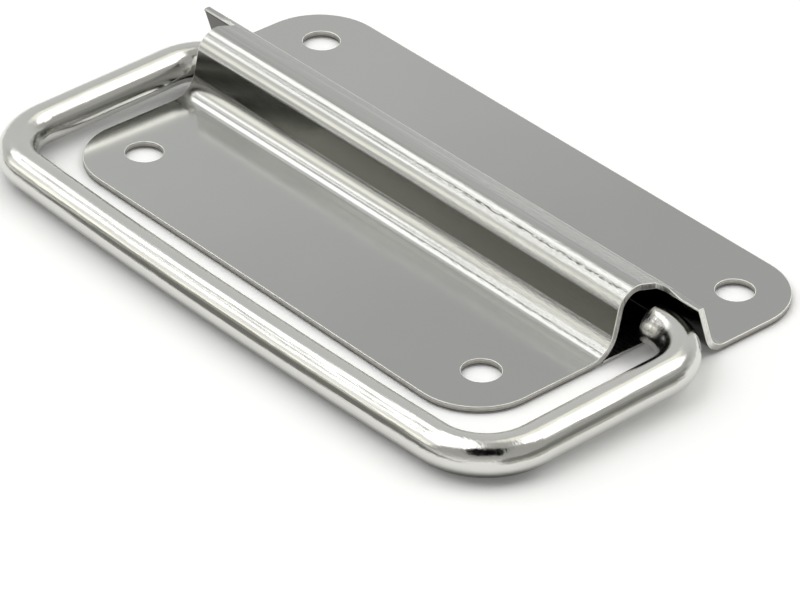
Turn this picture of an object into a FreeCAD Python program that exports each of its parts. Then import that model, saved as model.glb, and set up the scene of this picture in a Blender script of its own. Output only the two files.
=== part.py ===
"""Chest handle: a folded sheet plate with a channel that holds a swinging rod handle.

Frame: +X along the channel, +Y from the handle's bar towards the rear flange, +Z away from the
chest. The origin lies on the mounting face, midway between the four screw holes. Millimetres.
"""
import FreeCAD, Part
import math
import os

import Sketcher

NAMED_SIZES = [
    # The folded sheet and its screw holes
    ("sheet_thickness", 1.0),
    ("screw_hole_diameter", 5.7),
    ("screw_line_gap", 41.0),
    ("front_length", 91.4),
    ("rear_length", 107.2),
    ("front_margin", 9.8),
    ("rear_margin", 8.6),
    ("front_screw_inset", 8.7),
    ("rear_screw_inset", 8.6),
    ("corner_radius", 10.0),
    # The channel's section, on the sheet's upper side
    ("channel_front", 4.7),
    ("channel_width", 12.65),
    ("front_wall_angle", 78.0),
    ("rear_wall_angle", 72.0),
    ("roof_slope", 18.0),
    ("ridge_height", 9.12),
    ("front_foot_radius", 4.0),
    ("crown_radius", 3.6),
    ("ridge_radius", 1.2),
    ("rear_foot_radius", 3.0),
    # The roof's cut ends, and the rear wall's free ends that stand beyond them
    ("relief_depth", 1.45),
    ("relief_run", 1.6),
    ("wing_depth", 0.9),
    ("wing_run", 2.6),
    ("wing_drop", 0.37),
    # How far the cutting outlines reach past the sheet
    ("waste_margin", 12.0),
    # The rod handle
    ("rod_diameter", 6.0),
    ("half_width", 53.4),
    ("handle_reach", 41.34),
    ("bar_bow", 0.86),
    ("bar_corner_radius", 9.5),
    ("pin_bend_radius", 8.0),
    ("pin_straight", 2.4),
    ("pin_chamfer", 0.5),
    ("pin_place", 2.5),
    ("pin_height", 4.0),
    ("side_play", 3.6),
    # The strip that closes the channel from below
    ("strip_thickness", 0.5),
    ("strip_clearance", 0.1),
]

doc = FreeCAD.newDocument("ChestHandle")
sheet = doc.addObject("Spreadsheet::Sheet", "Sizes")
for row, (alias, value) in enumerate(NAMED_SIZES, start=1):
    sheet.set(f"A{row}", alias)
    sheet.set(f"B{row}", str(value))
    sheet.setAlias(f"B{row}", alias)
doc.recompute()
size = {alias: sheet.get(alias) for alias, _ in NAMED_SIZES}

# Edges and pins are found within this distance
NEAR = 0.01


def named(formula):
    """Turn a formula in the sheet's aliases into an expression that the document can follow."""
    for word in size:
        formula = formula.replace(f"[{word}]", f"Sizes.{word}")
    return formula


def new_body(label):
    body = doc.addObject("PartDesign::Body", label)
    body.Label = label
    return body


def origin_plane(body, role):
    return next(feature for feature in body.Origin.OriginFeatures if feature.Role == role)


def new_sketch(body, name, role):
    sketch = body.newObject("Sketcher::SketchObject", name)
    sketch.AttachmentSupport = [(origin_plane(body, role), "")]
    sketch.MapMode = "FlatFace"
    return sketch


def bind(sketch, name, constraint, formula):
    """Add a size to a sketch and tie it to the sheet."""
    index = sketch.addConstraint(constraint)
    sketch.renameConstraint(index, name)
    sketch.setExpression(f"Constraints.{name}", named(formula))


def draw_chain(sketch, points, closed):
    """Draw straight lines through the points, end to end, and return their numbers."""
    ends = points[1:] + points[:1] if closed else points[1:]
    lines = []
    for start, end in zip(points, ends):
        line = Part.LineSegment(FreeCAD.Vector(*start, 0), FreeCAD.Vector(*end, 0))
        lines.append(sketch.addGeometry(line, False))
    followers = lines[1:] + lines[:1] if closed else lines[1:]
    for line, follower in zip(lines, followers):
        sketch.addConstraint(Sketcher.Constraint("Coincident", line, 2, follower, 1))
    return lines


# Mounting plate

half_front_turn = math.radians(size["front_wall_angle"] / 2)
half_rear_turn = math.radians(size["rear_wall_angle"] / 2)
front_foot = -size["channel_front"]
rear_foot = front_foot + size["channel_width"]
front_edge = -size["screw_line_gap"] / 2 - size["front_margin"]
rear_edge = size["screw_line_gap"] / 2 + size["rear_margin"]
thickness = size["sheet_thickness"]
roof_fall = math.tan(math.radians(size["roof_slope"]))
front_lean = 1 / math.tan(2 * half_front_turn)
rear_lean = 1 / math.tan(2 * half_rear_turn)
ridge = rear_foot - (size["ridge_height"] - thickness) * rear_lean
ridge_formula = ("(-[channel_front] + [channel_width]"
                 " - ([ridge_height] - [sheet_thickness]) / tan([rear_wall_angle] * 1 deg))")


def crown_corner():
    """The sharp corner where the front wall's line meets the roof's line."""
    rise = size["ridge_height"] - thickness + (ridge - front_foot) * roof_fall
    height = rise / (1 + front_lean * roof_fall)
    return (front_foot + height * front_lean, thickness + height)


def inner_corners(upper):
    """Corners of the sheet's lower side: each lies one thickness below the two lines that meet."""
    lower = []
    for before, corner, after in zip(upper, upper[1:], upper[2:]):
        turn_in = math.atan2(corner[1] - before[1], corner[0] - before[0])
        turn_out = math.atan2(after[1] - corner[1], after[0] - corner[0])
        middle = (turn_in + turn_out) / 2
        depth = thickness / math.cos((turn_out - turn_in) / 2)
        lower.append((corner[0] + depth * math.sin(middle), corner[1] - depth * math.cos(middle)))
    return lower


plate = new_body("mounting_plate")

# The section across the channel, drawn with sharp folds
section = new_sketch(plate, "channel_section", "YZ_Plane")
upper_side = [
    (front_edge, thickness),
    (front_foot, thickness),
    crown_corner(),
    (ridge, size["ridge_height"]),
    (rear_foot, thickness),
    (rear_edge, thickness),
]
lower_folds = inner_corners(upper_side)
lower_side = [(rear_edge, 0)] + lower_folds[::-1] + [(front_edge, 0)]
lines = draw_chain(section, upper_side + lower_side, closed=True)
front_flange, front_wall, roof, rear_wall, rear_flange, rear_end = lines[:6]
under_rear_flange, under_rear_wall, under_roof, under_front_wall, under_front_flange, front_end = lines[6:]
for flat in (front_flange, rear_flange, under_rear_flange, under_front_flange):
    section.addConstraint(Sketcher.Constraint("Horizontal", flat))
for upright in (front_end, rear_end):
    section.addConstraint(Sketcher.Constraint("Vertical", upright))
for over, under in ((front_wall, under_front_wall), (roof, under_roof), (rear_wall, under_rear_wall)):
    section.addConstraint(Sketcher.Constraint("Parallel", over, under))
section.addConstraint(Sketcher.Constraint("PointOnObject", front_end, 1, -1))
section.addConstraint(Sketcher.Constraint("PointOnObject", rear_end, 2, -1))
bind(section, "front_edge", Sketcher.Constraint("DistanceX", front_end, 1, -1, 1, -front_edge),
     "[screw_line_gap] / 2 + [front_margin]")
bind(section, "rear_edge", Sketcher.Constraint("DistanceX", -1, 1, rear_end, 2, rear_edge),
     "[screw_line_gap] / 2 + [rear_margin]")
bind(section, "front_gauge", Sketcher.Constraint("DistanceY", front_end, 1, front_end, 2, thickness),
     "[sheet_thickness]")
bind(section, "rear_gauge", Sketcher.Constraint("DistanceY", rear_end, 2, rear_end, 1, thickness),
     "[sheet_thickness]")
bind(section, "front_foot", Sketcher.Constraint("DistanceX", front_wall, 1, -1, 1, -front_foot),
     "[channel_front]")
bind(section, "width", Sketcher.Constraint("DistanceX", front_wall, 1, rear_wall, 2, rear_foot - front_foot),
     "[channel_width]")
bind(section, "ridge_height", Sketcher.Constraint("DistanceY", -1, 1, rear_wall, 1, size["ridge_height"]),
     "[ridge_height]")
bind(section, "front_angle", Sketcher.Constraint("Angle", front_wall, 2 * half_front_turn),
     "[front_wall_angle] * 1 deg")
bind(section, "roof_angle", Sketcher.Constraint("Angle", roof, -math.radians(size["roof_slope"])),
     "-[roof_slope] * 1 deg")
bind(section, "rear_angle", Sketcher.Constraint("Angle", rear_wall, -2 * half_rear_turn),
     "-[rear_wall_angle] * 1 deg")
for name, over, under in (("front_wall", front_wall, under_front_wall),
                          ("roof", roof, under_roof),
                          ("rear_wall", rear_wall, under_rear_wall)):
    bind(section, f"{name}_gauge", Sketcher.Constraint("Distance", under, 1, over, thickness),
         "[sheet_thickness]")

folded = plate.newObject("PartDesign::Pad", "folded_sheet")
folded.Profile = section
folded.SideType = "Symmetric"
folded.setExpression("Length", named("[rear_length]"))
doc.recompute()


def edge_names(shape, place, height):
    """Names of the straight edges along X that pass through a place and height of the section."""
    names = []
    for number, edge in enumerate(shape.Edges, start=1):
        if len(edge.Vertexes) != 2:
            continue
        near = [math.hypot(v.Y - place, v.Z - height) < NEAR for v in edge.Vertexes]
        if all(near):
            names.append(f"Edge{number}")
    return names


# Each fold is rounded on both sides of the sheet, about one centre
folds = [
    ("front_foot", upper_side[1], lower_folds[0], "[front_foot_radius]",
     "[front_foot_radius] + [sheet_thickness]"),
    ("crown", upper_side[2], lower_folds[1], "[crown_radius]", "[crown_radius] - [sheet_thickness]"),
    ("ridge", upper_side[3], lower_folds[2], "[ridge_radius]", "[ridge_radius] - [sheet_thickness]"),
    ("rear_foot", upper_side[4], lower_folds[3], "[rear_foot_radius]",
     "[rear_foot_radius] + [sheet_thickness]"),
]
solid = folded
for name, over, under, over_radius, under_radius in folds:
    for side, corner, radius in (("upper", over, over_radius), ("lower", under, under_radius)):
        rounding = plate.newObject("PartDesign::Fillet", f"{name}_{side}")
        rounding.Base = (solid, edge_names(solid.Shape, *corner))
        rounding.setExpression("Radius", named(radius))
        doc.recompute()
        solid = rounding

# One end in plan: short front flange, roof cut back to the ridge, long rear flange, round corners
half_front = size["front_length"] / 2
half_rear = size["rear_length"] / 2
corner = size["corner_radius"]
waste = size["waste_margin"]
relief_start = ridge - size["relief_depth"]
wing_front = ridge - size["wing_depth"]
wing_start = half_front + size["relief_run"]
end_waste = new_sketch(plate, "end_waste", "XY_Plane")
end_lines = draw_chain(end_waste, [
    (half_front, front_edge + corner),
    (half_front, relief_start),
    (wing_start, wing_front),
    (half_rear, wing_front),
    (half_rear, rear_edge - corner),
], closed=False)
front_side, slant, roof_edge, rear_side = end_lines
rear_corner = end_waste.addGeometry(Part.ArcOfCircle(
    Part.Circle(FreeCAD.Vector(half_rear - corner, rear_edge - corner, 0), FreeCAD.Vector(0, 0, 1), corner),
    0, math.pi / 2), False)
outer_lines = draw_chain(end_waste, [
    (half_rear - corner, rear_edge),
    (half_rear - corner, rear_edge + waste),
    (half_rear + waste, rear_edge + waste),
    (half_rear + waste, front_edge - waste),
    (half_front - corner, front_edge - waste),
    (half_front - corner, front_edge),
], closed=False)
rear_run, far_rear, far_side, far_front, front_run = outer_lines
front_corner = end_waste.addGeometry(Part.ArcOfCircle(
    Part.Circle(FreeCAD.Vector(half_front - corner, front_edge + corner, 0), FreeCAD.Vector(0, 0, 1), corner),
    -math.pi / 2, 0), False)
for upright in (front_side, rear_side, rear_run, far_side, front_run):
    end_waste.addConstraint(Sketcher.Constraint("Vertical", upright))
for level in (roof_edge, far_rear, far_front):
    end_waste.addConstraint(Sketcher.Constraint("Horizontal", level))
end_waste.addConstraint(Sketcher.Constraint("Tangent", rear_side, 2, rear_corner, 1))
end_waste.addConstraint(Sketcher.Constraint("Perpendicular", rear_corner, 2, rear_run, 1))
end_waste.addConstraint(Sketcher.Constraint("Perpendicular", front_run, 2, front_corner, 1))
end_waste.addConstraint(Sketcher.Constraint("Tangent", front_corner, 2, front_side, 1))
bind(end_waste, "half_front", Sketcher.Constraint("DistanceX", -1, 1, front_side, 1, half_front),
     "[front_length] / 2")
bind(end_waste, "half_rear", Sketcher.Constraint("DistanceX", -1, 1, rear_side, 1, half_rear),
     "[rear_length] / 2")
bind(end_waste, "front_radius", Sketcher.Constraint("Radius", front_corner, corner), "[corner_radius]")
bind(end_waste, "rear_radius", Sketcher.Constraint("Radius", rear_corner, corner), "[corner_radius]")
bind(end_waste, "front_edge", Sketcher.Constraint("DistanceY", front_run, 2, -1, 1, -front_edge),
     "[screw_line_gap] / 2 + [front_margin]")
bind(end_waste, "rear_edge", Sketcher.Constraint("DistanceY", -1, 1, rear_run, 1, rear_edge),
     "[screw_line_gap] / 2 + [rear_margin]")
bind(end_waste, "relief_start", Sketcher.Constraint("DistanceY", -1, 1, slant, 1, relief_start),
     f"{ridge_formula} - [relief_depth]")
bind(end_waste, "wing_front", Sketcher.Constraint("DistanceY", -1, 1, slant, 2, wing_front),
     f"{ridge_formula} - [wing_depth]")
bind(end_waste, "relief_run", Sketcher.Constraint("DistanceX", slant, 1, slant, 2, size["relief_run"]),
     "[relief_run]")
bind(end_waste, "beyond_rear", Sketcher.Constraint("DistanceY", rear_run, 1, rear_run, 2, waste),
     "[waste_margin]")
bind(end_waste, "beyond_front", Sketcher.Constraint("DistanceY", front_run, 1, front_run, 2, waste),
     "[waste_margin]")
bind(end_waste, "beyond_side", Sketcher.Constraint("DistanceX", rear_side, 1, far_side, 1, waste),
     "[waste_margin]")
end_cut = plate.newObject("PartDesign::Pocket", "end_cut")
end_cut.Profile = end_waste
end_cut.Type = "ThroughAll"
end_cut.SideType = "Symmetric"

# The rear wall's free end seen from the front: its top falls from the roof to just below the ridge
wing_top = size["ridge_height"] - size["wing_drop"]
roof_top = size["ridge_height"] + size["wing_depth"] * roof_fall
wing_waste = new_sketch(plate, "wing_waste", "XZ_Plane")
wing_lines = draw_chain(wing_waste, [
    (wing_start, roof_top),
    (wing_start + size["wing_run"], wing_top),
    (half_rear + waste, wing_top),
    (half_rear + waste, roof_top + waste),
    (wing_start, roof_top + waste),
], closed=True)
wing_slant, wing_level, wing_side, wing_over, wing_inner = wing_lines
for level in (wing_level, wing_over):
    wing_waste.addConstraint(Sketcher.Constraint("Horizontal", level))
for upright in (wing_side, wing_inner):
    wing_waste.addConstraint(Sketcher.Constraint("Vertical", upright))
bind(wing_waste, "wing_start", Sketcher.Constraint("DistanceX", -1, 1, wing_slant, 1, wing_start),
     "[front_length] / 2 + [relief_run]")
bind(wing_waste, "wing_run", Sketcher.Constraint("DistanceX", wing_slant, 1, wing_slant, 2, size["wing_run"]),
     "[wing_run]")
bind(wing_waste, "wing_top", Sketcher.Constraint("DistanceY", -1, 1, wing_slant, 2, wing_top),
     "[ridge_height] - [wing_drop]")
bind(wing_waste, "roof_top", Sketcher.Constraint("DistanceY", -1, 1, wing_slant, 1, roof_top),
     "[ridge_height] + [wing_depth] * tan([roof_slope] * 1 deg)")
bind(wing_waste, "beyond_side", Sketcher.Constraint("DistanceX", -1, 1, wing_level, 2, half_rear + waste),
     "[rear_length] / 2 + [waste_margin]")
bind(wing_waste, "beyond_top", Sketcher.Constraint("DistanceY", wing_slant, 1, wing_inner, 1, waste),
     "[waste_margin]")
wing_cut = plate.newObject("PartDesign::Pocket", "wing_cut")
wing_cut.Profile = wing_waste
wing_cut.Type = "ThroughAll"
wing_cut.SideType = "Symmetric"

# The two screw holes of one end
screw_holes = new_sketch(plate, "screw_holes", "XY_Plane")
for name, half_length, line_side in (("front", half_front, -1), ("rear", half_rear, 1)):
    offset = size["screw_line_gap"] / 2
    half_spacing = half_length - size[f"{name}_screw_inset"]
    middle = FreeCAD.Vector(half_spacing, line_side * offset, 0)
    hole = screw_holes.addGeometry(
        Part.Circle(middle, FreeCAD.Vector(0, 0, 1), size["screw_hole_diameter"] / 2), False)
    below, above = ((hole, 3), (-1, 1)) if line_side < 0 else ((-1, 1), (hole, 3))
    bind(screw_holes, f"{name}_spacing", Sketcher.Constraint("DistanceX", -1, 1, hole, 3, half_spacing),
         f"[{name}_length] / 2 - [{name}_screw_inset]")
    bind(screw_holes, f"{name}_line", Sketcher.Constraint("DistanceY", *below, *above, offset),
         "[screw_line_gap] / 2")
    bind(screw_holes, f"{name}_hole", Sketcher.Constraint("Diameter", hole, size["screw_hole_diameter"]),
         "[screw_hole_diameter]")
hole_cut = plate.newObject("PartDesign::Pocket", "hole_cut")
hole_cut.Profile = screw_holes
hole_cut.Type = "ThroughAll"
hole_cut.SideType = "Symmetric"
doc.recompute()

other_end = plate.newObject("PartDesign::Mirrored", "other_end")
other_end.Originals = [end_cut, wing_cut, hole_cut]
other_end.MirrorPlane = (origin_plane(plate, "YZ_Plane"), [""])
plate.Tip = other_end
doc.recompute()

# Retaining strip

strip = new_body("retaining_strip")
front_centre = "(-[channel_front] - [front_foot_radius] * tan([front_wall_angle] / 2 * 1 deg))"
rear_centre = ("(-[channel_front] + [channel_width]"
               " + [rear_foot_radius] * tan([rear_wall_angle] / 2 * 1 deg))")


def bend_reach(radius):
    """How far a foot's rounded underside reaches out at the height of the strip's top."""
    return (f"sqrt(([{radius}] + [sheet_thickness])^2"
            f" - ([{radius}] + [sheet_thickness] - [strip_thickness])^2)")


strip_outline = new_sketch(strip, "strip_outline", "XY_Plane")
half_strip = size["front_length"] / 2
strip_lines = draw_chain(strip_outline, [
    (-half_strip, front_foot + 1),
    (half_strip, front_foot + 1),
    (half_strip, rear_foot),
    (-half_strip, rear_foot),
], closed=True)
strip_front, strip_right, strip_rear, strip_left = strip_lines
for level in (strip_front, strip_rear):
    strip_outline.addConstraint(Sketcher.Constraint("Horizontal", level))
for upright in (strip_left, strip_right):
    strip_outline.addConstraint(Sketcher.Constraint("Vertical", upright))
bind(strip_outline, "right_end", Sketcher.Constraint("DistanceX", -1, 1, strip_right, 1, half_strip),
     "[front_length] / 2")
bind(strip_outline, "left_end", Sketcher.Constraint("DistanceX", strip_left, 1, -1, 1, half_strip),
     "[front_length] / 2")
bind(strip_outline, "front_side", Sketcher.Constraint("DistanceY", strip_front, 1, -1, 1, -front_foot),
     f"-({front_centre} + {bend_reach('front_foot_radius')} + [strip_clearance])")
bind(strip_outline, "rear_side", Sketcher.Constraint("DistanceY", -1, 1, strip_rear, 1, rear_foot),
     f"{rear_centre} - {bend_reach('rear_foot_radius')} - [strip_clearance]")
strip_pad = strip.newObject("PartDesign::Pad", "strip_pad")
strip_pad.Profile = strip_outline
strip_pad.setExpression("Length", named("[strip_thickness]"))
doc.recompute()

# Rod handle, drawn about its own pin axis

handle = new_body("carry_handle")
half_width = size["half_width"]
reach = size["handle_reach"]
bow = size["bar_bow"]
bar_corner = size["bar_corner_radius"]
pin_bend = size["pin_bend_radius"]
half_bar = half_width - bar_corner
bow_radius = (half_bar ** 2 + bow ** 2) / (2 * bow)
bow_centre = bow_radius - reach - bow
tilt = math.asin(half_bar / bow_radius)
pin_tip = half_width - pin_bend - size["pin_straight"]

rod_path = new_sketch(handle, "rod_path", "XY_Plane")
up = FreeCAD.Vector(0, 0, 1)
bar = rod_path.addGeometry(Part.ArcOfCircle(
    Part.Circle(FreeCAD.Vector(0, bow_centre, 0), up, bow_radius), -math.pi / 2, -math.pi / 2 + tilt), False)
corner_place = FreeCAD.Vector(half_width - bar_corner, -reach + bar_corner, 0)
corner_arc = rod_path.addGeometry(Part.ArcOfCircle(
    Part.Circle(corner_place, up, bar_corner), -math.pi / 2 + tilt, 0), False)
arm = rod_path.addGeometry(Part.LineSegment(
    FreeCAD.Vector(half_width, -reach + bar_corner, 0), FreeCAD.Vector(half_width, -pin_bend, 0)), False)
bend = rod_path.addGeometry(Part.ArcOfCircle(
    Part.Circle(FreeCAD.Vector(half_width - pin_bend, -pin_bend, 0), up, pin_bend), 0, math.pi / 2), False)
pin = rod_path.addGeometry(Part.LineSegment(
    FreeCAD.Vector(half_width - pin_bend, 0, 0), FreeCAD.Vector(pin_tip, 0, 0)), False)
rod_path.addConstraint(Sketcher.Constraint("PointOnObject", bar, 1, -2))
rod_path.addConstraint(Sketcher.Constraint("PointOnObject", bar, 3, -2))
for first, second in ((bar, corner_arc), (corner_arc, arm), (arm, bend), (bend, pin)):
    rod_path.addConstraint(Sketcher.Constraint("Tangent", first, 2, second, 1))
rod_path.addConstraint(Sketcher.Constraint("Vertical", arm))
rod_path.addConstraint(Sketcher.Constraint("PointOnObject", pin, 2, -1))
bind(rod_path, "half_width", Sketcher.Constraint("DistanceX", -1, 1, arm, 1, half_width), "[half_width]")
bind(rod_path, "reach", Sketcher.Constraint("DistanceY", bar, 1, -1, 1, reach + bow),
     "[handle_reach] + [bar_bow]")
bind(rod_path, "bow", Sketcher.Constraint("Radius", bar, bow_radius),
     "(([half_width] - [bar_corner_radius])^2 + [bar_bow]^2) / (2 * [bar_bow])")
bind(rod_path, "corner", Sketcher.Constraint("Radius", corner_arc, bar_corner), "[bar_corner_radius]")
bind(rod_path, "pin_bend", Sketcher.Constraint("Radius", bend, pin_bend), "[pin_bend_radius]")
bind(rod_path, "pin_length", Sketcher.Constraint("DistanceX", pin, 2, pin, 1, size["pin_straight"]),
     "[pin_straight]")

rod_section = new_sketch(handle, "rod_section", "YZ_Plane")
rod_circle = rod_section.addGeometry(Part.Circle(
    FreeCAD.Vector(-reach - bow, 0, 0), up, size["rod_diameter"] / 2), False)
rod_section.addConstraint(Sketcher.Constraint("PointOnObject", rod_circle, 3, -1))
bind(rod_section, "place", Sketcher.Constraint("DistanceX", rod_circle, 3, -1, 1, reach + bow),
     "[handle_reach] + [bar_bow]")
bind(rod_section, "diameter", Sketcher.Constraint("Diameter", rod_circle, size["rod_diameter"]),
     "[rod_diameter]")
half_rod = handle.newObject("PartDesign::AdditivePipe", "half_rod")
half_rod.Profile = rod_section
half_rod.Spine = rod_path
doc.recompute()


def tip_edge(shape):
    """Name of the round edge at the end of the pin."""
    for number, edge in enumerate(shape.Edges, start=1):
        if len(edge.Vertexes) == 1 and abs(edge.CenterOfMass.x - pin_tip) < NEAR:
            return f"Edge{number}"


tip_break = handle.newObject("PartDesign::Chamfer", "tip_break")
tip_break.Base = (half_rod, [tip_edge(half_rod.Shape)])
tip_break.setExpression("Size", named("[pin_chamfer]"))
doc.recompute()
whole_rod = handle.newObject("PartDesign::Mirrored", "whole_rod")
whole_rod.TransformMode = "Whole shape"
whole_rod.MirrorPlane = (origin_plane(handle, "YZ_Plane"), [""])
handle.Tip = whole_rod
handle.setExpression("Placement.Base.x", named("[side_play]"))
handle.setExpression("Placement.Base.y", named("[pin_place]"))
handle.setExpression("Placement.Base.z", named("[pin_height]"))
handle.Placement = FreeCAD.Placement(FreeCAD.Vector(), FreeCAD.Rotation(FreeCAD.Vector(1, 0, 0), 1))
handle.setExpression("Placement.Rotation.Angle",
                     named("asin(([pin_height] - [rod_diameter] / 2) / ([handle_reach] + [bar_bow]))"))
doc.recompute()

for item in doc.Objects:
    if "Invalid" in item.State or "Error" in item.State:
        raise SystemExit(f"{item.Name} failed: {item.State}")

os.makedirs("parts", exist_ok=True)
for body in (plate, strip, handle):
    shape = body.Shape
    if shape.isNull() or not shape.isValid() or len(shape.Solids) != 1:
        raise SystemExit(f"{body.Label} is not one valid solid")
    shape.exportStep(f"parts/{body.Label}.step")
    box = shape.optimalBoundingBox()
    print(f"{body.Label}: {shape.Volume:.1f} cubic mm, "
          f"X {box.XMin:.2f} to {box.XMax:.2f}, Y {box.YMin:.2f} to {box.YMax:.2f}, "
          f"Z {box.ZMin:.2f} to {box.ZMax:.2f}")
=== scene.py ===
# %% [markdown]
# # A chest handle in polished and satin steel
#
# The object is a folded steel plate with a raised channel, a bent round rod that hangs in the
# channel as the carrying handle, and a thin strip that closes the channel from below.
# The exact solids come in as a fixed frame. This script gives them their metal, a floor to lie on,
# soft light and a camera, one cell at a time.

# %% Load the frame
import math

import bpy
from mathutils import Matrix, Vector

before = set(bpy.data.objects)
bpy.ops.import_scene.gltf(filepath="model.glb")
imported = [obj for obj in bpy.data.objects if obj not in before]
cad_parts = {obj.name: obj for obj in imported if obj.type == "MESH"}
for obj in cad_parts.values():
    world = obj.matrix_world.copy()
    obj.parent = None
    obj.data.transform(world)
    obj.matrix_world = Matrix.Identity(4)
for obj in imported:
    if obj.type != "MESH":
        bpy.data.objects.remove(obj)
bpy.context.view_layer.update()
MM = 0.001

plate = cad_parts["mounting_plate"]
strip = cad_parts["retaining_strip"]
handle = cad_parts["carry_handle"]
for piece in (plate, strip, handle):
    print(piece.name, len(piece.data.vertices), "points,", len(piece.data.polygons), "faces")

# %% [markdown]
# ## Edges that catch the light
#
# Real sheet has no perfectly sharp edge: the punch rolls a tiny radius on one side and leaves a
# burr on the other, and both show as a thin bright line. The mesh could be modelled again with
# those radii, but a row of modifiers does the same and leaves the solid alone.
#
# Weld joins the points that the file keeps apart at each sharp edge. Decimate makes one face of the
# long thin triangles on each flat side, because slivers overlap once their corners are cut back.
# Bevel then rounds only the edges that turn by more than a set angle, so the wide folds stay as they
# are. Its clamp is off: at the narrow faces of the folds it would hold every edge of the piece down
# to a hundredth of a millimetre. A second Weld joins the few points that come to lie together there.
# Weighted Normal lets the large faces rule the shading again: without it the ends of the long narrow
# faces of a fold would lean outwards and bend every reflection along the channel.

# %% Round the sheared edges
EDGE_BREAK = 0.14 * MM
SHARP_TURN = math.radians(38)
FLAT_TURN = math.radians(0.5)
SAME_POINT = 0.001 * MM
CLOSE_POINTS = 0.004 * MM


def soften_edges(piece, width):
    weld = piece.modifiers.new("join points", "WELD")
    weld.merge_threshold = SAME_POINT
    merge = piece.modifiers.new("whole flat faces", "DECIMATE")
    merge.decimate_type = "DISSOLVE"
    merge.angle_limit = FLAT_TURN
    bevel = piece.modifiers.new("edge break", "BEVEL")
    bevel.width = width
    bevel.segments = 2
    bevel.use_clamp_overlap = False
    bevel.limit_method = "ANGLE"
    bevel.angle_limit = SHARP_TURN
    rejoin = piece.modifiers.new("join again", "WELD")
    rejoin.merge_threshold = CLOSE_POINTS
    shading = piece.modifiers.new("true shading", "WEIGHTED_NORMAL")
    shading.mode = "FACE_AREA_WITH_ANGLE"
    shading.weight = 100
    print(piece.name, "edges broken by", round(width / MM, 3), "mm")


for piece in (plate, strip):
    soften_edges(piece, EDGE_BREAK)

# %% [markdown]
# ## Small helpers for node trees
#
# A material is a tree of nodes, and wiring each one by hand takes many lines. The helpers below
# add a node, feed a socket from another node or with a number, and do one sum, one change of range
# or one blend. They are short enough to read once and then forget.

# %% Helpers: nodes and numbers
def add_node(tree, kind, **settings):
    new = tree.nodes.new(kind)
    for name, value in settings.items():
        setattr(new, name, value)
    return new


def feed(tree, socket, value):
    if isinstance(value, bpy.types.NodeSocket):
        tree.links.new(value, socket)
    else:
        socket.default_value = value


def calculate(tree, operation, first, second=0.0, clamp=False):
    step = add_node(tree, "ShaderNodeMath", operation=operation, use_clamp=clamp)
    feed(tree, step.inputs[0], first)
    feed(tree, step.inputs[1], second)
    return step.outputs[0]


def multiply(tree, first, *others):
    for other in others:
        first = calculate(tree, "MULTIPLY", first, other)
    return first


def change_range(tree, value, low, high, new_low=0.0, new_high=1.0):
    ranger = add_node(tree, "ShaderNodeMapRange", interpolation_type="SMOOTHSTEP")
    for socket, number in zip(ranger.inputs[:5], (value, low, high, new_low, new_high)):
        feed(tree, socket, number)
    return ranger.outputs["Result"]


# %% Helpers: blends of two colours or two values
def blend_colours(tree, share, first, second):
    mixer = add_node(tree, "ShaderNodeMix", data_type="RGBA")
    feed(tree, mixer.inputs[0], share)
    feed(tree, mixer.inputs[6], first)
    feed(tree, mixer.inputs[7], second)
    return mixer.outputs[2]


def blend_values(tree, share, first, second):
    mixer = add_node(tree, "ShaderNodeMix")
    feed(tree, mixer.inputs[0], share)
    feed(tree, mixer.inputs[2], first)
    feed(tree, mixer.inputs[3], second)
    return mixer.outputs[0]


# %% Helpers: directions, places and noise
def split_axes(tree, vector):
    splitter = add_node(tree, "ShaderNodeSeparateXYZ")
    feed(tree, splitter.inputs[0], vector)
    return tuple(splitter.outputs)


def join_axes(tree, axes):
    joiner = add_node(tree, "ShaderNodeCombineXYZ")
    for socket, value in zip(joiner.inputs, axes):
        feed(tree, socket, value)
    return joiner.outputs[0]


def stretch_place(tree, place, scales):
    scaler = add_node(tree, "ShaderNodeVectorMath", operation="MULTIPLY")
    feed(tree, scaler.inputs[0], place)
    scaler.inputs[1].default_value = scales
    return scaler.outputs[0]


def add_noise(tree, place, scale=1.0, detail=2.0, roughness=0.5):
    noise = add_node(tree, "ShaderNodeTexNoise")
    feed(tree, noise.inputs["Vector"], place)
    noise.inputs["Scale"].default_value = scale
    noise.inputs["Detail"].default_value = detail
    noise.inputs["Roughness"].default_value = roughness
    return noise.outputs[0]


# %% Helpers: node groups
FLOAT = "NodeSocketFloat"
VECTOR = "NodeSocketVector"


def new_group(name, inputs, outputs):
    group = bpy.data.node_groups.new(name, "ShaderNodeTree")
    for title, kind, value in inputs:
        socket = group.interface.new_socket(name=title, in_out="INPUT", socket_type=kind)
        if value is not None:
            socket.default_value = value
    for title, kind in outputs:
        group.interface.new_socket(name=title, in_out="OUTPUT", socket_type=kind)
    start = group.nodes.new("NodeGroupInput")
    end = group.nodes.new("NodeGroupOutput")
    print("group", name, "gives", [title for title, kind in outputs])
    return group, start.outputs, end.inputs


def place_group(tree, group, **values):
    block = tree.nodes.new("ShaderNodeGroup")
    block.node_tree = group
    for name, value in values.items():
        feed(tree, block.inputs[name], value)
    return block.outputs


# %% [markdown]
# ## Streaks
#
# Rolled sheet and drawn rod both carry fine lines along the direction in which the metal ran
# through the tools. A noise that is squeezed across and stretched along gives them. All three
# metals use it with other lengths and widths, in millimetres, so it is a group with those two as
# inputs, and with a seed that shifts the pattern.

# %% Group: streaks along X
STREAK_DETAIL = 3.0
STREAK_ROUGHNESS = 0.6


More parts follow.
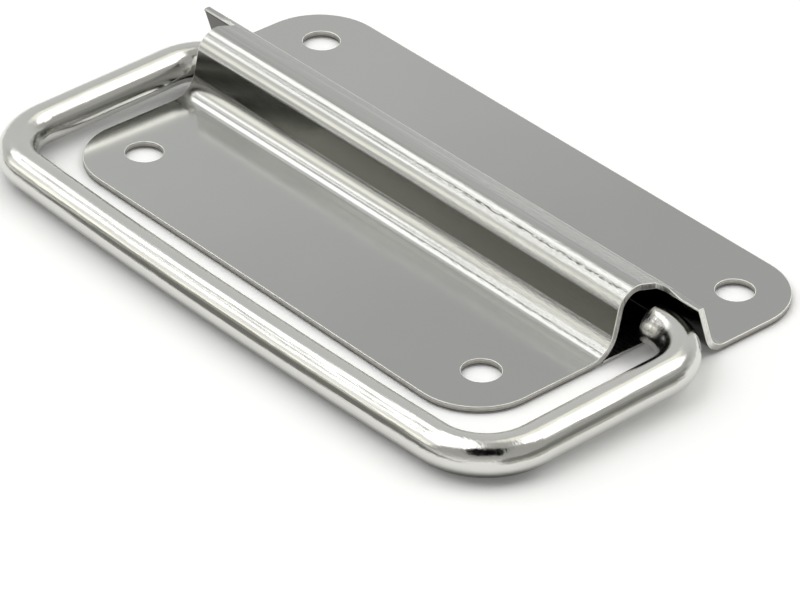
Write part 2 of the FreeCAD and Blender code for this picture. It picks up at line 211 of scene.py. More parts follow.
def build_streaks():
    group, given, result = new_group(
        "streaks along x",
        [("Place", VECTOR, None), ("Length", FLOAT, 20.0), ("Width", FLOAT, 0.2), ("Seed", FLOAT, 0.0)],
        [("Streak", FLOAT)],
    )
    shares = []
    for axis, size in zip(split_axes(group, given["Place"]), ("Length", "Width", "Width")):
        millimetres = calculate(group, "DIVIDE", axis, MM)
        shares.append(calculate(group, "DIVIDE", millimetres, given[size]))
    shares[0] = calculate(group, "ADD", shares[0], given["Seed"])
    streak = add_noise(group, join_axes(group, shares), 1.0, STREAK_DETAIL, STREAK_ROUGHNESS)
    feed(group, result["Streak"], streak)
    return group


STREAKS = build_streaks()


# Every set of lines below is named as three numbers: length, width and seed.
def add_streaks(tree, place, length, width, seed):
    return place_group(tree, STREAKS, Place=place, Length=length, Width=width, Seed=seed)["Streak"]


# %% [markdown]
# ## Specks
#
# Handled steel shows scattered dark points: dust, tiny pits and the marks of other parts in the
# same box. A cell pattern gives the places, and only the small core of a few cells is kept. Spacing
# and radius are in millimetres.

# %% Group: specks
def build_specks():
    group, given, result = new_group(
        "specks",
        [("Place", VECTOR, None), ("Spacing", FLOAT, 3.0), ("Radius", FLOAT, 0.05),
         ("Share", FLOAT, 0.3)],
        [("Mask", FLOAT)],
    )
    scaled = add_node(group, "ShaderNodeVectorMath", operation="SCALE")
    feed(group, scaled.inputs[0], given["Place"])
    feed(group, scaled.inputs["Scale"], calculate(group, "DIVIDE", 1.0 / MM, given["Spacing"]))
    cells = add_node(group, "ShaderNodeTexVoronoi")
    feed(group, cells.inputs["Vector"], scaled.outputs[0])
    cells.inputs["Scale"].default_value = 1.0
    reach = multiply(group, cells.outputs["Distance"], given["Spacing"])
    core = change_range(group, reach, given["Radius"], 0.0)
    chance = split_axes(group, cells.outputs["Color"])[0]
    kept = calculate(group, "LESS_THAN", chance, given["Share"])
    feed(group, result["Mask"], multiply(group, core, kept))
    return group


SPECKS = build_specks()

# %% [markdown]
# ## Sheared faces
#
# Where the press cut the sheet, the face has zones: a smooth burnished band where the punch slid
# past and a rougher broken band below it, both with fine upright scratches. A band at the very bottom,
# where it meets what it lies on, is a painted contact shade. The rolled rim along the top of the cut
# is the thin line that catches the light, and it is painted near white as a painted highlight. The
# zones could be drawn on the mesh by hand, but direction and height find them: on this plate only a
# cut face stands exactly upright, and on the flanges only a broken edge leans between upright and
# flat. The channel's two ends are cuts too, and they face along X.

# %% Ranges that find the cut faces
# Where a mask starts and where it is full. The first six are parts of the face's direction, the
# next three are heights, counted in thicknesses of the sheet, which is given in millimetres.
UPRIGHT = (0.16, 0.06)
END_ON = (0.35, 0.60)
NOT_LEVEL = (0.97, 0.90)
LEANS = (0.15, 0.35)
END_LEANS = (0.25, 0.40)
NOT_SQUARE = (0.985, 0.94)
FLANGE_ONLY = (1.06, 1.03)
BROKEN_BAND = (0.62, 0.50)
# The lowest band of an upright cut face gets a painted contact shade.
CONTACT_SHADE_BAND = (0.26, 0.18)
SHEET_THICKNESS = 1.0


def find_cuts(group, facing):
    tilt = calculate(group, "ABSOLUTE", facing[2])
    upright = change_range(group, tilt, *UPRIGHT)
    end_on = change_range(group, calculate(group, "ABSOLUTE", facing[0]), *END_ON)
    end_face = multiply(group, end_on, change_range(group, tilt, *NOT_LEVEL))
    return upright, calculate(group, "MAXIMUM", upright, end_face)


def find_rims(group, facing, height):
    leaning = multiply(group, change_range(group, facing[2], *LEANS),
                       change_range(group, facing[2], *NOT_SQUARE))
    sideways = calculate(group, "ABSOLUTE", facing[0])
    end_lean = multiply(group, change_range(group, sideways, *END_LEANS),
                        change_range(group, sideways, *NOT_SQUARE))
    return blend_values(group, change_range(group, height, *FLANGE_ONLY), end_lean, leaning)


print("broken band below", BROKEN_BAND[0], "and painted_shade below", CONTACT_SHADE_BAND[0], "of the thickness")

# %% Group: sheared face
# Scales are grains of noise per metre along X, Y and Z. None along Z keeps the broken band level.
RAGGED_SCALE = (900, 900, 0)
RAGGED_HEIGHT = 0.35
SCRATCH_SCALE = (4000, 4000, 900)


def build_sheared_face():
    group, given, result = new_group(
        "sheared face",
        [("Place", VECTOR, None), ("Facing", VECTOR, None), ("Sheet", FLOAT, SHEET_THICKNESS)],
        [("Face", FLOAT), ("Broken", FLOAT), ("Scratch", FLOAT), ("Rim", FLOAT), ("Painted_contact_shade", FLOAT)],
    )
    facing = split_axes(group, given["Facing"])
    upright, cut = find_cuts(group, facing)
    feed(group, result["Face"], cut)

    millimetres = calculate(group, "DIVIDE", split_axes(group, given["Place"])[2], MM)
    height = calculate(group, "DIVIDE", millimetres, given["Sheet"])
    ragged = add_noise(group, stretch_place(group, given["Place"], RAGGED_SCALE))
    wavy = multiply(group, calculate(group, "SUBTRACT", ragged, 0.5), RAGGED_HEIGHT)
    broken = change_range(group, calculate(group, "ADD", height, wavy), *BROKEN_BAND)
    feed(group, result["Broken"], broken)
    feed(group, result["Rim"], find_rims(group, facing, height))
    # Painted contact shade along the bottom of upright cut faces.
    feed(group, result["Painted_contact_shade"], multiply(group, change_range(group, height, *CONTACT_SHADE_BAND), upright))
    scratch = add_noise(group, stretch_place(group, given["Place"], SCRATCH_SCALE))
    feed(group, result["Scratch"], scratch)
    return group


SHEARED = build_sheared_face()

# %% [markdown]
# ## How a metal starts
#
# All three pieces are bare steel, so their materials start alike: fully metallic, with a plain
# colour and roughness for viewers that can't follow the nodes, and with the place and direction of
# each point on the piece itself. Its own place, not the room's, keeps the marks where they are when
# the handle swings.

# %% Helpers: a metal and its relief
def new_metal(name, colour, roughness):
    material = bpy.data.materials.new(name)
    material.use_nodes = True
    tree = material.node_tree
    shader = tree.nodes["Principled BSDF"]
    shader.inputs["Base Color"].default_value = (*colour, 1.0)
    shader.inputs["Metallic"].default_value = 1.0
    shader.inputs["Roughness"].default_value = roughness
    return material, tree, shader, add_node(tree, "ShaderNodeTexCoord").outputs


def add_relief(tree, shader, height):
    bump = add_node(tree, "ShaderNodeBump")
    bump.inputs["Strength"].default_value = 1.0
    bump.inputs["Distance"].default_value = 1.0
    feed(tree, bump.inputs["Height"], height)
    feed(tree, shader.inputs["Normal"], bump.outputs[0])


# Noise seldom leaves the middle of its range, so only that part is spread out.
MIDDLE = (0.3, 0.7)
print("noise is spread from", MIDDLE[0], "to", MIDDLE[1])

# %% [markdown]
# ## The satin sheet: where each finish and each painted shade lies
#
# One sheet shows several finishes and some painted shade. The flanges are dull and the channel is
# shinier. Its front wall is painted dark, a painted dark reflection, and a broken painted dark
# reflection line runs along the right part of the crown. The underside and the inside of the channel
# get hardly any light and are painted darker still. The faces could be given materials of their own,
# but that leaves hard seams, so height above the mounting face, place and direction tell the zones
# apart. The wall's painted darkness counts little for mirrored rays: the flange in front mirrors the
# wall, and on the real one that mirror image is bright.

# %% Zones of the sheet
# Where each mask starts and where it is full. Lengths are heights above the mounting face or
# distances from the channel's middle, the others are parts of the face's direction. An inside face
# is found by distance times direction, which is below zero where it looks inwards. The last value
# is how much of the wall's painted dark reflection mirrors see.
RAISED = (1.05 * MM, 2.2 * MM)
FACES_DOWN = (-0.05, -0.25)
INSIDE_FACE = (-0.3 * MM, -0.9 * MM)
INSIDE_REACH = (10.5 * MM, 9.5 * MM)
NO_ROOF = (0.3, 0.1)
WALL_FACE = (-0.955, -0.972)
WALL_MIRRORED = 0.2


def find_zones(tree, place, facing):
    x, y, z = split_axes(tree, place)
    turn_y, turn_z = split_axes(tree, facing)[1:]
    raised = change_range(tree, z, *RAISED)
    inside = change_range(tree, multiply(tree, y, turn_y), *INSIDE_FACE)
    inside = multiply(tree, inside, change_range(tree, turn_z, *NO_ROOF))
    reach = change_range(tree, calculate(tree, "ABSOLUTE", y), *INSIDE_REACH)
    below = change_range(tree, turn_z, *FACES_DOWN)
    hidden = calculate(tree, "MAXIMUM", below, multiply(tree, inside, reach))
    # The front wall's dark tone is a painted dark reflection, and mirrored rays see little of it.
    wall = multiply(tree, change_range(tree, turn_y, *WALL_FACE), raised)
    seen = add_node(tree, "ShaderNodeLightPath").outputs["Is Camera Ray"]
    wall = multiply(tree, wall, change_range(tree, seen, 0.0, 1.0, WALL_MIRRORED, 1.0))
    return {"x": x, "y": y, "turn_y": turn_y, "turn_z": turn_z,
            "raised": raised, "hidden": hidden, "wall": wall}


print("flange below", RAISED[0] / MM, "mm, channel above", RAISED[1] / MM, "mm")

# %% Dark dashes on the crown
# The dashes are a painted dark reflection line, set where the crown faces one way.
# Below: the streaks that the dashes are cut from, then the line on the crown and the ranges of the masks
DASH_LINES = (1.1, 0.16, 4.0)
DASH_SHARE = (0.46, 0.54)
DASH_TURN = 0.52
DASH_REACH = (0.06, 0.03)
DASH_STRETCH = (-5 * MM, 15 * MM)


def find_dashes(tree, place, zones):
    dashes = change_range(tree, add_streaks(tree, place, *DASH_LINES), *DASH_SHARE)
    off_line = calculate(tree, "ABSOLUTE", calculate(tree, "ADD", zones["turn_y"], DASH_TURN))
    return multiply(tree, dashes, change_range(tree, off_line, *DASH_REACH),
                    change_range(tree, zones["x"], *DASH_STRETCH), zones["raised"])


print("dashes are", DASH_LINES[0], "mm long")

# %% [markdown]
# ## The satin sheet: colour, gloss and relief
#
# The flange's grey drifts a little from one end to the other with a faint cloudy tone. The channel
# has long light and dark lines. Every other zone is a blend over these two, and the specks come
# last. A fine burr scatters light from all sides, so the rim is painted near white and made less
# metallic, a painted highlight where a flat mirror of the same width would be mostly dark.
#
# The relief is bump and not geometry, because it is far finer than the mesh: chatter marks and lines
# on the channel, scratches on the cuts, and a slight lean where the front flange meets the foot of
# the channel, because the real fold starts a little earlier than the one in the solid.

# %% Colours of the sheet
FLANGE_DARK = (0.47, 0.473, 0.46, 1)
FLANGE_LIGHT = (0.57, 0.575, 0.555, 1)
DRIFT_STRETCH = (-50 * MM, 45 * MM)
DRIFT_SHIFT = (0.15, -0.05)
CLOUD_SHIFT = 0.06
DRIFT_STRENGTH = 6.0
CHANNEL_DARK = (0.48, 0.48, 0.465, 1)
CHANNEL_LIGHT = (0.55, 0.55, 0.53, 1)
CHANNEL_LINES = (60.0, 0.9, 3.0)
CHANNEL_SHARE = (0.35, 0.65)
# The next three colours are painted: a dark reflection on the front wall, a dark reflection line on the
# crown, and shade below and inside the channel.
WALL_PAINTED_REFLECTION = (0.15, 0.15, 0.138, 1)
DASH_PAINTED_REFLECTION = (0.15, 0.145, 0.135, 1)
HIDDEN_TONE = (0.06, 0.058, 0.053, 1)


def mix_sheet_tone(tree, place, zones, cloud):
    drift = change_range(tree, zones["x"], *DRIFT_STRETCH, *DRIFT_SHIFT)
    drift = calculate(tree, "ADD", multiply(tree, cloud, CLOUD_SHIFT), drift)
    drift = calculate(tree, "MULTIPLY", drift, DRIFT_STRENGTH, clamp=True)
    flange = blend_colours(tree, drift, FLANGE_DARK, FLANGE_LIGHT)
    lines = change_range(tree, add_streaks(tree, place, *CHANNEL_LINES), *CHANNEL_SHARE)
    channel = blend_colours(tree, lines, CHANNEL_DARK, CHANNEL_LIGHT)
    tone = blend_colours(tree, zones["raised"], flange, channel)
    # Painted dark reflection on the wall and the crown, then painted shade below and inside.
    tone = blend_colours(tree, zones["wall"], tone, WALL_PAINTED_REFLECTION)
    tone = blend_colours(tree, find_dashes(tree, place, zones), tone, DASH_PAINTED_REFLECTION)
    return blend_colours(tree, zones["hidden"], tone, HIDDEN_TONE)


print("flange between", FLANGE_DARK[0], "and", FLANGE_LIGHT[0])

# %% Colours of the cut faces and the specks
BURNISHED_TONE = (0.44, 0.43, 0.40, 1)
BROKEN_TONE = (0.30, 0.29, 0.265, 1)
# A painted contact shade for the bottom of a cut face.
PAINTED_CONTACT_SHADE = (0.03, 0.028, 0.025, 1)
END_DARK = (0.60, 0.59, 0.56, 1)
END_LIGHT = (0.86, 0.85, 0.81, 1)
# The rim's near white, with little metallic, is a painted highlight along the cut.
RIM_PAINTED_HIGHLIGHT = (1.0, 0.99, 0.94, 1)
RIM_METALLIC = 0.1
SPECK_TONE = (0.12, 0.11, 0.10, 1)
SPECK_STRENGTH = 0.5
SPECK_SIZES = {"Spacing": 4.0, "Radius": 0.09, "Share": 0.35}


def add_cut_tones(tree, place, zones, cut, tone):
    outline = blend_colours(tree, cut["Broken"], BURNISHED_TONE, BROKEN_TONE)
    # Painted contact shade along the bottom of the cut.
    outline = blend_colours(tree, cut["Painted_contact_shade"], outline, PAINTED_CONTACT_SHADE)
    scratched = change_range(tree, cut["Scratch"], *MIDDLE)
    ends = blend_colours(tree, scratched, END_DARK, END_LIGHT)
    cut_tone = blend_colours(tree, zones["raised"], outline, ends)
    tone = blend_colours(tree, cut["Face"], tone, cut_tone)
    # Painted highlight along the rim of each cut.
    tone = blend_colours(tree, cut["Rim"], tone, RIM_PAINTED_HIGHLIGHT)
    specks = place_group(tree, SPECKS, Place=place, **SPECK_SIZES)["Mask"]
    return blend_colours(tree, multiply(tree, specks, SPECK_STRENGTH), tone, SPECK_TONE)


print("rim", RIM_PAINTED_HIGHLIGHT[:3], "with metallic", RIM_METALLIC)

# %% Relief of the sheet
CHATTER_LINES = (1.3, 0.22, 2.0)
CHATTER_HEIGHT = 0.026 * MM
CHATTER_STRETCH = (-10 * MM, 25 * MM)
CHATTER_SHARE = (0.15, 1.0)
LINE_HEIGHT = 0.006 * MM
SCRATCH_HEIGHT = 0.012 * MM
FOOT_STRETCH = (-4.8 * MM, -8.3 * MM)
FOOT_HEIGHT = 0.42 * MM
FOOT_TURN = (0.2, 0.45)


def sheet_relief(tree, place, zones, cut, fine):
    chatter = multiply(tree, add_streaks(tree, place, *CHATTER_LINES),
                       change_range(tree, zones["x"], *CHATTER_STRETCH, *CHATTER_SHARE), CHATTER_HEIGHT)
    lines = multiply(tree, fine, LINE_HEIGHT)
    relief = multiply(tree, calculate(tree, "ADD", chatter, lines), zones["raised"])
    scratches = multiply(tree, cut["Scratch"], cut["Face"], SCRATCH_HEIGHT)
    foot = change_range(tree, zones["y"], *FOOT_STRETCH, 0.0, FOOT_HEIGHT)
    foot = multiply(tree, foot, change_range(tree, zones["turn_z"], *FOOT_TURN))
    return calculate(tree, "ADD", calculate(tree, "ADD", relief, scratches), foot)


print("chatter", CHATTER_HEIGHT / MM, "mm high")

# %% Material: satin sheet
SHEET_PLAIN = (0.50, 0.50, 0.485)
SHEET_PLAIN_ROUGHNESS = 0.24
CLOUD_SCALE = 45.0
CLOUD_DETAIL = 4.0
FINE_LINES = (14.0, 0.12, 8.0)
FLANGE_GLOSS = (0.14, 0.18)
CHANNEL_GLOSS = (0.10, 0.17)
CUT_GLOSS = (0.3, 0.5)


def build_satin_sheet():
    material, tree, shader, where = new_metal("satin sheet", SHEET_PLAIN, SHEET_PLAIN_ROUGHNESS)
    place, facing = where["Object"], where["Normal"]
    zones = find_zones(tree, place, facing)
    cut = place_group(tree, SHEARED, Place=place, Facing=facing)
    cloud = add_noise(tree, place, CLOUD_SCALE, CLOUD_DETAIL)
    tone = mix_sheet_tone(tree, place, zones, cloud)
    feed(tree, shader.inputs["Base Color"], add_cut_tones(tree, place, zones, cut, tone))
    # The rim's painted highlight is also less metallic.
    feed(tree, shader.inputs["Metallic"], change_range(tree, cut["Rim"], 0.0, 1.0, 1.0, RIM_METALLIC))

    fine = add_streaks(tree, place, *FINE_LINES)
    dull = change_range(tree, cloud, *MIDDLE, *FLANGE_GLOSS)
    shiny = change_range(tree, fine, *MIDDLE, *CHANNEL_GLOSS)
    rough = blend_values(tree, zones["raised"], dull, shiny)
    cut_rough = change_range(tree, cut["Scratch"], *MIDDLE, *CUT_GLOSS)
    feed(tree, shader.inputs["Roughness"], blend_values(tree, cut["Face"], rough, cut_rough))
    add_relief(tree, shader, sheet_relief(tree, place, zones, cut, fine))
    print("material", material.name, len(tree.nodes), "nodes")
    return material


SATIN_SHEET = build_satin_sheet()

# %% [markdown]
# ## The strip
#
# The strip hides under the channel and only its end shows. It could share the sheet's material, but
# it has no folds, so a plain brushed steel with fine lines along its length suits it better.

# %% Material: strip steel
STRIP_PLAIN = (0.5, 0.5, 0.48)
STRIP_PLAIN_ROUGHNESS = 0.3
STRIP_LINES = (9.0, 0.08, 1.0)
STRIP_DARK = (0.42, 0.415, 0.40, 1)
STRIP_LIGHT = (0.58, 0.575, 0.56, 1)
STRIP_GLOSS = (0.24, 0.36)


def build_strip_steel():
    material, tree, shader, where = new_metal("strip steel", STRIP_PLAIN, STRIP_PLAIN_ROUGHNESS)
    lines = add_streaks(tree, where["Object"], *STRIP_LINES)
    feed(tree, shader.inputs["Base Color"], blend_colours(tree, lines, STRIP_DARK, STRIP_LIGHT))
    feed(tree, shader.inputs["Roughness"], change_range(tree, lines, *MIDDLE, *STRIP_GLOSS))
    print("material", material.name, len(tree.nodes), "nodes")
    return material


STRIP_STEEL = build_strip_steel()

# %% [markdown]
# ## The polished rod
#
# The rod is the bright piece: it is polished and mirrors the whole studio. Its bands of white and
# dark come from the studio, and the material only adds what keeps it from looking like glass. The
# faint lines of drawing run along the rod, so they lie along X in the front bar and along Y in the
# arms, and the two are blended at the bends. Shallow dents at the front bends stand for the marks
# of the bending tool.
#
# Where the rod lies on the floor its underside is darker, from the contact shade between the two.
# It is masked by height in the room and not on the piece, so it goes when the handle is lifted.

# %% Lines, shade and dents of the rod
FRONT_BENDS = (-35.0 * MM, -25.0 * MM)
ROD_LINES = (26.0, 0.30, 5.0)
SHADE_HEIGHT = (2.7 * MM, 1.1 * MM)
SHADE_SHARE = (1.0, 0.25)
DENT_SCALE = 420.0
DENT_SIDE = (38 * MM, 46 * MM)
DENT_FRONT = (-24 * MM, -34 * MM)
DENT_HEIGHT = (0.015 * MM, 0.05 * MM)
ROD_LINE_HEIGHT = 0.020 * MM


def rod_lines(tree, place, in_arm):
    x, y, z = split_axes(tree, place)
    along_bar = add_streaks(tree, place, *ROD_LINES)
    along_arm = add_streaks(tree, join_axes(tree, (y, x, z)), *ROD_LINES)
    return blend_values(tree, in_arm, along_bar, along_arm)


def contact_shade(tree, in_arm):
    position = add_node(tree, "ShaderNodeNewGeometry").outputs["Position"]
    shade = change_range(tree, split_axes(tree, position)[2], *SHADE_HEIGHT)
    return multiply(tree, shade, change_range(tree, in_arm, 0.0, 1.0, *SHADE_SHARE))


def rod_relief(tree, place, lines):
    x, y = split_axes(tree, place)[:2]
    marks = multiply(tree, change_range(tree, calculate(tree, "ABSOLUTE", x), *DENT_SIDE),
                     change_range(tree, y, *DENT_FRONT))
    depth = change_range(tree, marks, 0.0, 1.0, *DENT_HEIGHT)
    dents = multiply(tree, add_noise(tree, place, DENT_SCALE), depth)
    return calculate(tree, "ADD", multiply(tree, lines, ROD_LINE_HEIGHT), dents)


print("front bends between", FRONT_BENDS[0] / MM, "and", FRONT_BENDS[1] / MM, "mm")

# %% Material: polished rod
ROD_PLAIN = (0.69, 0.685, 0.66)
ROD_PLAIN_ROUGHNESS = 0.1
ROD_DARK = (0.66, 0.655, 0.625, 1)
ROD_LIGHT = (0.72, 0.715, 0.69, 1)
ROD_SHADE = (0.12, 0.118, 0.108, 1)
ROD_CLOUD_SCALE = 160.0
ROD_CLOUD_DETAIL = 3.0
ROD_GLOSS = (0.11, 0.18)


def build_polished_rod():
    material, tree, shader, where = new_metal("polished rod", ROD_PLAIN, ROD_PLAIN_ROUGHNESS)
    place = where["Object"]
    in_arm = change_range(tree, split_axes(tree, place)[1], *FRONT_BENDS)
    lines = rod_lines(tree, place, in_arm)
    cloud = add_noise(tree, place, ROD_CLOUD_SCALE, ROD_CLOUD_DETAIL)
    tone = blend_colours(tree, cloud, ROD_DARK, ROD_LIGHT)
    tone = blend_colours(tree, contact_shade(tree, in_arm), tone, ROD_SHADE)
    feed(tree, shader.inputs["Base Color"], tone)
    feed(tree, shader.inputs["Roughness"], change_range(tree, lines, *MIDDLE, *ROD_GLOSS))
    add_relief(tree, shader, rod_relief(tree, place, lines))
    print("material", material.name, len(tree.nodes), "nodes")
    return material


POLISHED_ROD = build_polished_rod()

# %% [markdown]
# ## Who wears what
#
# Each solid comes with the slots of the record. Putting the new metals in those slots keeps the
# solids themselves untouched.

# %% Put the metals on the pieces
for piece, metal in ((plate, SATIN_SHEET), (strip, STRIP_STEEL), (handle, POLISHED_ROD)):
    for slot in piece.material_slots:
        slot.material = metal
    print(piece.name, "wears", metal.name, "in", len(piece.material_slots), "slot")

# %% [markdown]
# ## Floor
#
# The handle lies on a white sheet of paper. The floor is one large face a fifth of a millimetre
# under the mounting face, as if burrs of the sheared edges held the plate off, and the gap draws a
# thin dark line round it. The paper's own colour is nearly white. A little glow lifts it to pure
# white, but only for camera, glossy and transmission rays, so it adds no soft light and the soft
# shadow stays.

# %% Paper
PAPER_ROUGHNESS = 0.9
PAPER_GLOSS = 0.1
PAPER_WHITE = (0.97, 0.97, 0.97, 1)
PAPER_GLOW = 0.08


def new_paper(name, colour):
    paper = bpy.data.materials.new(name)
    paper.use_nodes = True
    shader = paper.node_tree.nodes["Principled BSDF"]
    shader.inputs["Base Color"].default_value = colour
    shader.inputs["Roughness"].default_value = PAPER_ROUGHNESS
    return paper, paper.node_tree, shader


def build_white_paper():
    paper, tree, shader = new_paper("white paper", PAPER_WHITE)
    shader.inputs["Specular IOR Level"].default_value = PAPER_GLOSS
    glow = add_node(tree, "ShaderNodeEmission")
    glow.inputs["Color"].default_value = (1, 1, 1, 1)
    rays = add_node(tree, "ShaderNodeLightPath").outputs
    seen = calculate(tree, "MAXIMUM", rays["Is Camera Ray"], rays["Is Transmission Ray"])
    seen = calculate(tree, "MAXIMUM", seen, rays["Is Glossy Ray"])
    feed(tree, glow.inputs["Strength"], multiply(tree, seen, PAPER_GLOW))
    both = add_node(tree, "ShaderNodeAddShader")
    feed(tree, both.inputs[0], shader.outputs[0])
    feed(tree, both.inputs[1], glow.outputs[0])
    feed(tree, tree.nodes["Material Output"].inputs["Surface"], both.outputs[0])
    print("paper", PAPER_WHITE[:3], "glows by", PAPER_GLOW)
    return paper


# %% Build the floor
FLOOR_SIZE = 6.0
FLOOR_DROP = 0.22 * MM


def build_floor():
    half = FLOOR_SIZE / 2
    mesh = bpy.data.meshes.new("floor")
    corners = [(-half, -half, 0), (half, -half, 0), (half, half, 0), (-half, half, 0)]
    mesh.from_pydata(corners, [], [(0, 1, 2, 3)])
    mesh.materials.append(build_white_paper())
    floor = bpy.data.objects.new("floor", mesh)
    floor.location.z = -FLOOR_DROP
    bpy.context.scene.collection.objects.link(floor)
    print("floor", FLOOR_SIZE, "m wide")


build_floor()

# %% [markdown]
# ## Where the camera looks from
#
# The view was found from the corners and holes of the plate. It is a long lens far away, which keeps
# the far edge nearly as large as the near one, and it leans by about a degree. The directions come
# before the studio, because the panels of the studio are placed as seen from the camera.

# %% Camera directions
AZIMUTH = math.radians(48.12)
ELEVATION = math.radians(33.49)
ROLL = math.radians(1.21)
AIM = Vector((15.6, -16.59, 0.0)) * MM
DISTANCE = 670.75 * MM
LENS = 214.55
SENSOR_WIDTH = 36.0

back = Vector((math.sin(AZIMUTH) * math.cos(ELEVATION),
               -math.cos(AZIMUTH) * math.cos(ELEVATION),
               math.sin(ELEVATION)))
level_right = Vector((math.cos(AZIMUTH), math.sin(AZIMUTH), 0.0))
level_up = back.cross(level_right)
right = level_right * math.cos(ROLL) + level_up * math.sin(ROLL)
up = back.cross(right)
away = Vector((-math.sin(AZIMUTH), math.cos(AZIMUTH), 0.0))
print("camera looks from", tuple(round(v, 3) for v in back))

# %% [markdown]
# ## The studio as the metal sees it
#
# Polished metal has hardly a colour of its own: it shows what stands around it. The bands on the
# rod and on the folds of the channel are mirror images of the studio, always in the same order,
# so the studio is planned from them. Area lamps could stand for the lights, but their mirror images
# have hard edges and each lamp adds noise. Painting the studio on the world's sky costs one node
# group, and every edge is as soft as it has to be: a broad soft box on the left, a second one on
# the right, pale reflectors below and beside them, a bright backdrop, and a black stand, a grey rail
# and a grey arm for the darker lines.

# %% Group: a panel with round corners in the sky
CORNER_POWER = 5.0
IN_FRONT = 0.05


def build_panel_group():
    group, given, result = new_group(
        "studio panel",
        [("Direction", VECTOR, None), ("Toward", VECTOR, None), ("Across", VECTOR, None),
         ("Upward", VECTOR, None), ("Width", FLOAT, 0.5), ("Height", FLOAT, 0.5), ("Edge", FLOAT, 0.02)],
        [("Mask", FLOAT)],
    )

    def along(name):
        dot = add_node(group, "ShaderNodeVectorMath", operation="DOT_PRODUCT")
        feed(group, dot.inputs[0], given["Direction"])
        feed(group, dot.inputs[1], given[name])
        return dot.outputs["Value"]

    depth = along("Toward")
    total = 0.0
    for axis, reach in (("Across", "Width"), ("Upward", "Height")):
        offset = calculate(group, "DIVIDE", calculate(group, "DIVIDE", along(axis), depth), given[reach])
        offset = calculate(group, "ABSOLUTE", offset)
        total = calculate(group, "ADD", total, calculate(group, "POWER", offset, CORNER_POWER))
    rim = calculate(group, "POWER", total, 1 / CORNER_POWER)
    outer = calculate(group, "ADD", 1.0, given["Edge"])
    inner = calculate(group, "SUBTRACT", 1.0, given["Edge"])
    mask = multiply(group, change_range(group, rim, outer, inner),
                    calculate(group, "GREATER_THAN", depth, IN_FRONT))
    feed(group, result["Mask"], mask)
    return group


PANEL = build_panel_group()

# %% Where each panel stands
def studio_direction(turn, height):
    turn, height = math.radians(turn), math.radians(height)
    flat = level_right * math.sin(turn) + away * math.cos(turn)
    return (flat * math.cos(height) + Vector((0, 0, math.sin(height)))).normalized()


def panel_axes(turn, height, roll):
    toward = studio_direction(turn, height)
    across = Vector((0, 0, 1)).cross(toward).normalized()
    upward = toward.cross(across)
    roll = math.radians(roll)
    return (toward, across * math.cos(roll) + upward * math.sin(roll),
            upward * math.cos(roll) - across * math.sin(roll))


# Name, turn from straight behind, height and roll in degrees, half width and half height at a
# distance of 1, soft edge as a share of both, colour
STUDIO = [
    ("bright backdrop", 5, -6, 0, 0.60, 0.12, 0.20, (1.30, 1.30, 1.28)),
    ("right card", 101, 10, 0, 0.42, 0.13, 0.35, (0.30, 0.30, 0.28)),
    ("camera stand", 180, 51, 0, 0.36, 0.35, 0.06, (0.0, 0.0, 0.0)),
    ("left reflector", -88, 26, 0, 0.45, 0.30, 0.10, (1.0, 1.0, 0.97)),
    ("cream reflector", -91, 18, 0, 0.36, 0.10, 0.15, (1.55, 1.54, 1.41)),
    ("left soft box", -74, 60, 19, 0.60, 0.45, 0.05, (2.15, 2.15, 2.13)),
    ("lamp arm", -53, 50, 0, 0.065, 0.16, 0.35, (0.60, 0.60, 0.59)),
    ("lamp rail", -71, 44.5, 0, 0.17, 0.035, 0.30, (0.50, 0.50, 0.49)),
    ("right reflector", 34, 58, 0, 0.21, 0.27, 0.20, (1.22, 1.22, 1.10)),
    ("right soft box", 73, 52, 0, 0.28, 0.32, 0.22, (2.5, 2.5, 2.47)),
]
print(len(STUDIO), "panels in the studio")

# %% Room
# Walls above and walls low down, the wall behind, and the ranges over which they blend
ROOM_HIGH = (0.45, 0.45, 0.43, 1)
ROOM_LOW = (0.72, 0.72, 0.70, 1)
ROOM_BEHIND = (0.68, 0.685, 0.68, 1)
LOW_WALL = (0.4, 0.05)
BACK_WALL = (0.3, 0.75)


def build_room():
    world = bpy.data.worlds.new("studio room")
    world.use_nodes = True
    tree = world.node_tree
    ray = add_node(tree, "ShaderNodeTexCoord").outputs["Generated"]
    behind = add_node(tree, "ShaderNodeVectorMath", operation="DOT_PRODUCT")
    feed(tree, behind.inputs[0], ray)
    behind.inputs[1].default_value = tuple(away)

    low = change_range(tree, split_axes(tree, ray)[2], *LOW_WALL)
    tone = blend_colours(tree, low, ROOM_HIGH, ROOM_LOW)
    far = change_range(tree, behind.outputs["Value"], *BACK_WALL)
    tone = blend_colours(tree, far, tone, ROOM_BEHIND)
    for name, turn, lift, roll, width, tall, edge, colour in STUDIO:
        toward, across, upward = panel_axes(turn, lift, roll)
        mask = place_group(tree, PANEL, Direction=ray, Toward=toward, Across=across, Upward=upward,
                           Width=width, Height=tall, Edge=edge)["Mask"]
        tone = blend_colours(tree, mask, tone, (*colour, 1))
        print(name, "stands toward", tuple(round(v, 2) for v in toward))
    feed(tree, tree.nodes["Background"].inputs["Color"], tone)
    bpy.context.scene.world = world


build_room()

# %% [markdown]
# ## Dark cards beside the rod
#
# The long dark lines low on the front bar and on the right arm come from something dark that
# stands close by. Painted on the sky it would slide along the rod, because the sky is endlessly far
# away, so two narrow cards of real size stand beside the rod. They are switched off for the camera,
# for soft light and for shadows, so only mirrors see them. Each card is made of level bands with
# slanting ends, which let the dark line run out as it does on a real rod.

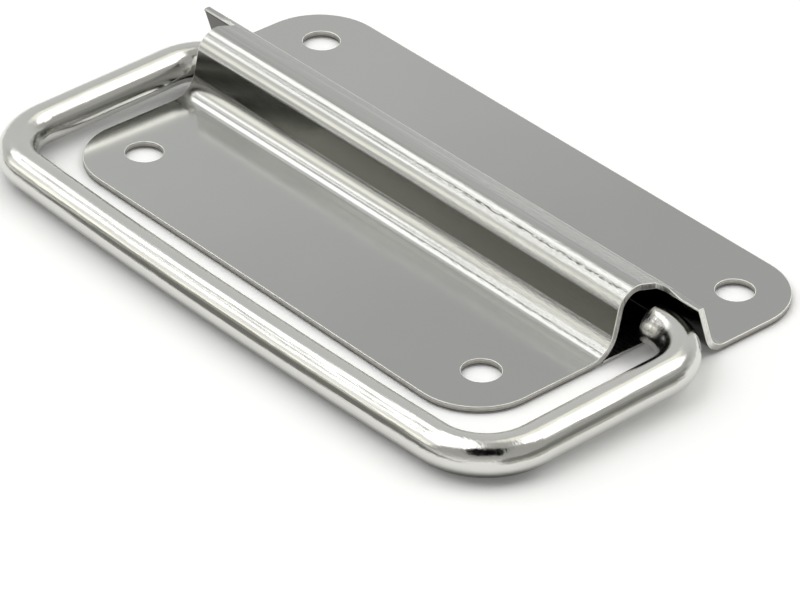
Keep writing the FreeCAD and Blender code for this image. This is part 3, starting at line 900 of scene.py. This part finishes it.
# %% Build the cards
# Name, start and end on the floor, share of the length where the top begins, bands of height from
# and to with their tone. All lengths are in millimetres.
CARDS = [
    ("front_card", (-90, -47.8), (60, -47.8), 0.5, [(2.0, 5.5, 0.30), (5.5, 7.0, 0.55)]),
    ("right_card", (70, -44), (70, 12), 0.1, [(0.0, 3.0, 0.55), (3.0, 7.3, 0.25)]),
]
TOP_ENDS = 0.86
CARD_BLUE = 0.94


def build_card(name, start, end, rise, bands):
    mesh = bpy.data.meshes.new(name)
    points = []
    for low, high, tone in bands:
        for part, z in ((0, low), (1, low), (TOP_ENDS, high), (rise, high)):
            x, y = (a + (b - a) * part for a, b in zip(start, end))
            points.append(Vector((x, y, z)) * MM)
        paper = new_paper(f"{name} {high} mm", (tone, tone, tone * CARD_BLUE, 1))[0]
        mesh.materials.append(paper)
    mesh.from_pydata(points, [], [tuple(range(4 * k, 4 * k + 4)) for k in range(len(bands))])
    for number, face in enumerate(mesh.polygons):
        face.material_index = number
    card = bpy.data.objects.new(name, mesh)
    bpy.context.scene.collection.objects.link(card)
    card.visible_camera = False
    card.visible_diffuse = False
    card.visible_shadow = False
    print(name, "stands from", start, "to", end)


for card in CARDS:
    build_card(*card)

# %% [markdown]
# ## Camera
#
# The camera could be aimed with a constraint, but its three directions are known already, so they
# become the columns of its matrix. Standard view keeps colours as they are written.

# %% Set the camera
CLIP_START = 10 * MM


def place_camera():
    lens = bpy.data.cameras.new("camera")
    lens.lens = LENS
    lens.sensor_width = SENSOR_WIDTH
    lens.clip_start = CLIP_START
    camera = bpy.data.objects.new("camera", lens)
    turn = Matrix((right, up, back)).transposed().to_4x4()
    camera.matrix_world = Matrix.Translation(AIM + back * DISTANCE) @ turn
    bpy.context.scene.collection.objects.link(camera)
    bpy.context.scene.camera = camera
    print("camera at", tuple(round(v, 3) for v in camera.matrix_world.translation))


place_camera()
bpy.context.scene.view_settings.view_transform = "Standard"

# %% [markdown]
# ## Bring the scene up to date
#
# The last cell brings the view layer up to date. The dressed model has to stay inside the box of
# the solids.

# %% Update the view layer
bpy.context.view_layer.update()
